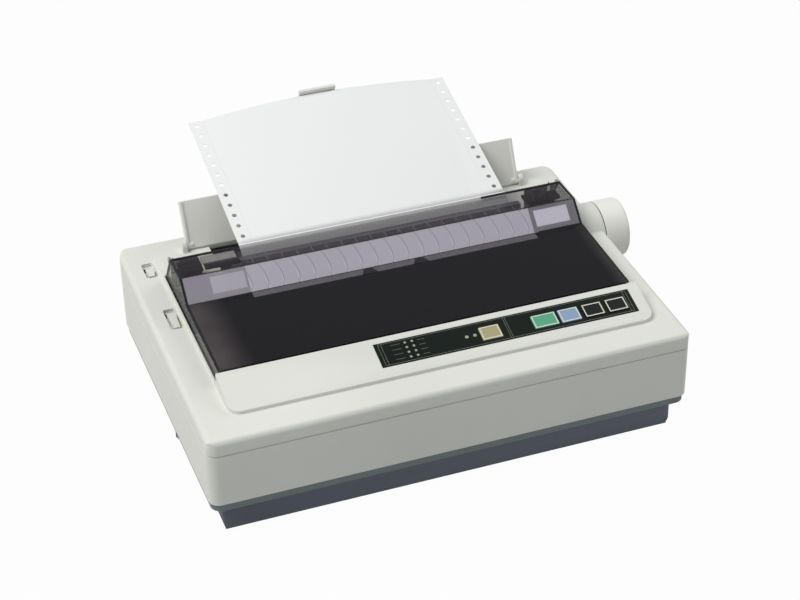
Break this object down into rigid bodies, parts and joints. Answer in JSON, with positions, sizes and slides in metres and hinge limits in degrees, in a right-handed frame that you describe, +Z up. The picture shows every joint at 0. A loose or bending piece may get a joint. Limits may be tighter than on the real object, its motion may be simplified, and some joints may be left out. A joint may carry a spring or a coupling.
{
  "type": "dot matrix printer",
  "caption": "Desktop dot matrix printer with a hinged smoked cover, key panel, platen knob, levers, fold-back sheet guide and a fanfold sheet over its carriage, ribbon and tractors.",
  "frame": {"origin": "centre of the bottom of the whole machine's bounding box, on the surface the rubber feet stand on, paper and knob included", "axes": "+Z up, +X to the operator's right where the platen knob is, -Y to the front where the key panel is, +Y to the back where the paper leaves"},
  "size_m": [0.432, 0.369, 0.1854],
  "materials": {
    "case_beige": "fine grained",
    "base_slate": "fine grained",
    "foot_rubber": "matte",
    "zinc_steel": "zinc plated",
    "ground_steel": "ground",
    "black_plastic": "moulded",
    "grey_plastic": "moulded",
    "motor_can": "satin",
    "belt_rubber": "matte",
    "ribbon_fabric": "inked",
    "board_green": "solder mask",
    "core_steel": "varnished laminations",
    "connector_metal": "plated",
    "panel_grey": "printed overlay",
    "lamp_green": "clear tinted",
    "paper_white": "paper",
    "smoke_clear": "smoked clear plastic",
    "clear_plastic": "clear plastic",
    "platen_rubber": "ground",
    "gear_white": "acetal",
    "key_sand": "fine",
    "key_green": "fine",
    "key_blue": "fine",
    "key_black": "fine",
    "rocker_blue": "fine",
    "head_alloy": "anodised dark"
  },
  "bodies": {
    "case": {"lower_case": "base_slate", "rubber_feet": "foot_rubber", "mid_housing": "case_beige", "top_housing": "case_beige", "left_side_frame": "zinc_steel", "right_side_frame": "zinc_steel", "chassis_plate": "zinc_steel", "carriage_shaft": "ground_steel", "front_rail": "zinc_steel", "paper_pan": "grey_plastic", "feed_motor": "motor_can", "carriage_motor": "motor_can", "timing_belt": "belt_rubber", "ribbon_cassette": "black_plastic", "ribbon_band": "ribbon_fabric", "main_board": "board_green", "transformer": "core_steel", "power_inlet": "black_plastic", "parallel_connector": "connector_metal", "switch_housing": "black_plastic", "panel_plate": "panel_grey", "indicator_lenses": "lamp_green", "key_board": "board_green", "tractor_guide_rod": "ground_steel", "fanfold_paper": "paper_white"},
    "cover": {"smoked_cover": "smoke_clear", "tear_bar": "clear_plastic"},
    "sheet_guide": {"sheet_guide": "case_beige"},
    "support_arm": {"support_arm": "case_beige"},
    "platen": {"platen_roller": "platen_rubber", "platen_shaft": "ground_steel", "platen_gear": "gear_white", "platen_knob": "case_beige"},
    "idler": {"idler_gear": "gear_white"},
    "feed_pinion": {"motor_pinion": "gear_white"},
    "tractor_drive": {"tractor_shaft": "ground_steel", "tractor_gear": "gear_white"},
    "left_tractor": {"left_tractor": "grey_plastic"},
    "right_tractor": {"right_tractor": "grey_plastic"},
    "left_pin_wheel": {"left_pin_wheel": "black_plastic"},
    "right_pin_wheel": {"right_pin_wheel": "black_plastic"},
    "left_door": {"left_tractor_door": "grey_plastic"},
    "right_door": {"right_tractor_door": "grey_plastic"},
    "bail": {"paper_bail": "zinc_steel", "bail_lever": "case_beige"},
    "bail_rollers": {"bail_rollers": "foot_rubber"},
    "carriage": {"carriage": "black_plastic", "print_head": "head_alloy"},
    "motor_pulley": {"motor_pulley": "connector_metal"},
    "belt_pulley": {"belt_pulley": "black_plastic"},
    "release_lever": {"release_lever": "case_beige"},
    "page_key": {"page_key": "key_sand"},
    "online_key": {"online_key": "key_green"},
    "font_key": {"font_key": "key_blue"},
    "feed_key": {"feed_key": "key_black"},
    "load_key": {"load_key": "key_black"},
    "power_rocker": {"power_rocker": "rocker_blue"},
    "ribbon_knob": {"ribbon_knob": "grey_plastic"}
  },
  "joints": [
    {"name": "cover_hinge", "type": "hinge", "parent": "case", "child": "cover", "pos_m": [-0.01, 0.02851, 0.1305], "axis": [-1, 0, 0], "range_deg": [0, 95]},
    {"name": "guide_hinge", "type": "hinge", "parent": "case", "child": "sheet_guide", "pos_m": [-0.005, 0.07847, 0.11051], "axis": [-1, 0, 0], "range_deg": [0, 55]},
    {"name": "arm_hinge", "type": "hinge", "parent": "sheet_guide", "child": "support_arm", "pos_m": [-0.005, 0.09647, 0.13963], "axis": [-1, 0, 0], "range_deg": [0, 40]},
    {"name": "platen_spin", "type": "hinge", "parent": "case", "child": "platen", "pos_m": [-0.005, 0.00451, 0.0885], "axis": [1, 0, 0], "continuous": true},
    {"name": "idler_spin", "type": "hinge", "parent": "case", "child": "idler", "pos_m": [0.153, 0.03833, 0.08494], "axis": [1, 0, 0], "continuous": true},
    {"name": "pinion_spin", "type": "hinge", "parent": "case", "child": "feed_pinion", "pos_m": [0.153, 0.03833, 0.06494], "axis": [1, 0, 0], "continuous": true},
    {"name": "tractor_spin", "type": "hinge", "parent": "case", "child": "tractor_drive", "pos_m": [-0.005, 0.06617, 0.082], "axis": [1, 0, 0], "continuous": true},
    {"name": "left_tractor_slide", "type": "slide", "parent": "case", "child": "left_tractor", "axis": [1, 0, 0], "range_m": [-0.01, 0.01]},
    {"name": "right_tractor_slide", "type": "slide", "parent": "case", "child": "right_tractor", "axis": [1, 0, 0], "range_m": [-0.01, 0.01]},
    {"name": "left_wheel_spin", "type": "hinge", "parent": "left_tractor", "child": "left_pin_wheel", "pos_m": [-0.1193, 0.06617, 0.082], "axis": [1, 0, 0], "continuous": true},
    {"name": "right_wheel_spin", "type": "hinge", "parent": "right_tractor", "child": "right_pin_wheel", "pos_m": [0.1093, 0.06617, 0.082], "axis": [1, 0, 0], "continuous": true},
    {"name": "left_door_hinge", "type": "hinge", "parent": "left_tractor", "child": "left_door", "pos_m": [-0.1293, 0.06617, 0.09543], "axis": [0, -1, 0], "range_deg": [0, 75]},
    {"name": "right_door_hinge", "type": "hinge", "parent": "right_tractor", "child": "right_door", "pos_m": [0.1193, 0.06617, 0.09543], "axis": [0, 1, 0], "range_deg": [0, 75]},
    {"name": "bail_pivot", "type": "hinge", "parent": "case", "child": "bail", "pos_m": [-0.005, -0.00949, 0.072], "axis": [-1, 0, 0], "range_deg": [0, 14]},
    {"name": "bail_roller_spin", "type": "hinge", "parent": "bail", "child": "bail_rollers", "pos_m": [-0.005, -0.01888, 0.10623], "axis": [1, 0, 0], "continuous": true},
    {"name": "carriage_slide", "type": "slide", "parent": "case", "child": "carriage", "axis": [1, 0, 0], "range_m": [-0.1, 0.105]},
    {"name": "motor_pulley_spin", "type": "hinge", "parent": "case", "child": "motor_pulley", "pos_m": [-0.138, -0.09549, 0.063], "axis": [0, 0, 1], "range_deg": [-1010, 1010]},
    {"name": "belt_pulley_spin", "type": "hinge", "parent": "case", "child": "belt_pulley", "pos_m": [0.124, -0.09549, 0.063], "axis": [0, 0, 1], "range_deg": [-1010, 1010]},
    {"name": "release_pivot", "type": "hinge", "parent": "case", "child": "release_lever", "pos_m": [-0.1965, 0.06147, 0.076], "axis": [-1, 0, 0], "range_deg": [0, 12]},
    {"name": "page_key_press", "type": "slide", "parent": "case", "child": "page_key", "axis": [0, 0.2816, -0.9595], "range_m": [0, 0.001], "stiffness_N_per_m": 150, "springref_m": -0.0008},
    {"name": "online_key_press", "type": "slide", "parent": "case", "child": "online_key", "axis": [0, 0.2816, -0.9595], "range_m": [0, 0.001], "stiffness_N_per_m": 150, "springref_m": -0.0008},
    {"name": "font_key_press", "type": "slide", "parent": "case", "child": "font_key", "axis": [0, 0.2816, -0.9595], "range_m": [0, 0.001], "stiffness_N_per_m": 150, "springref_m": -0.0008},
    {"name": "feed_key_press", "type": "slide", "parent": "case", "child": "feed_key", "axis": [0, 0.2816, -0.9595], "range_m": [0, 0.001], "stiffness_N_per_m": 150, "springref_m": -0.0008},
    {"name": "load_key_press", "type": "slide", "parent": "case", "child": "load_key", "axis": [0, 0.2816, -0.9595], "range_m": [0, 0.001], "stiffness_N_per_m": 150, "springref_m": -0.0008},
    {"name": "power_rocker_tilt", "type": "hinge", "parent": "case", "child": "power_rocker", "pos_m": [-0.204, -0.05149, 0.016], "axis": [0, 0, -1], "range_deg": [0, 12]},
    {"name": "ribbon_knob_spin", "type": "hinge", "parent": "case", "child": "ribbon_knob", "pos_m": [-0.13, -0.09749, 0.1], "axis": [0, 0, 1], "continuous": true}
  ],
  "couplings": [
    {"joint": "idler_spin", "follows": "platen_spin", "ratio": -1.4286},
    {"joint": "tractor_spin", "follows": "platen_spin", "ratio": 1.4286},
    {"joint": "pinion_spin", "follows": "platen_spin", "ratio": 3.3333},
    {"joint": "left_wheel_spin", "follows": "platen_spin", "ratio": 1.4286},
    {"joint": "right_wheel_spin", "follows": "platen_spin", "ratio": 1.4286},
    {"joint": "motor_pulley_spin", "follows": "carriage_slide", "rad_per_m": -166.67},
    {"joint": "belt_pulley_spin", "follows": "carriage_slide", "rad_per_m": -166.67}
  ]
}
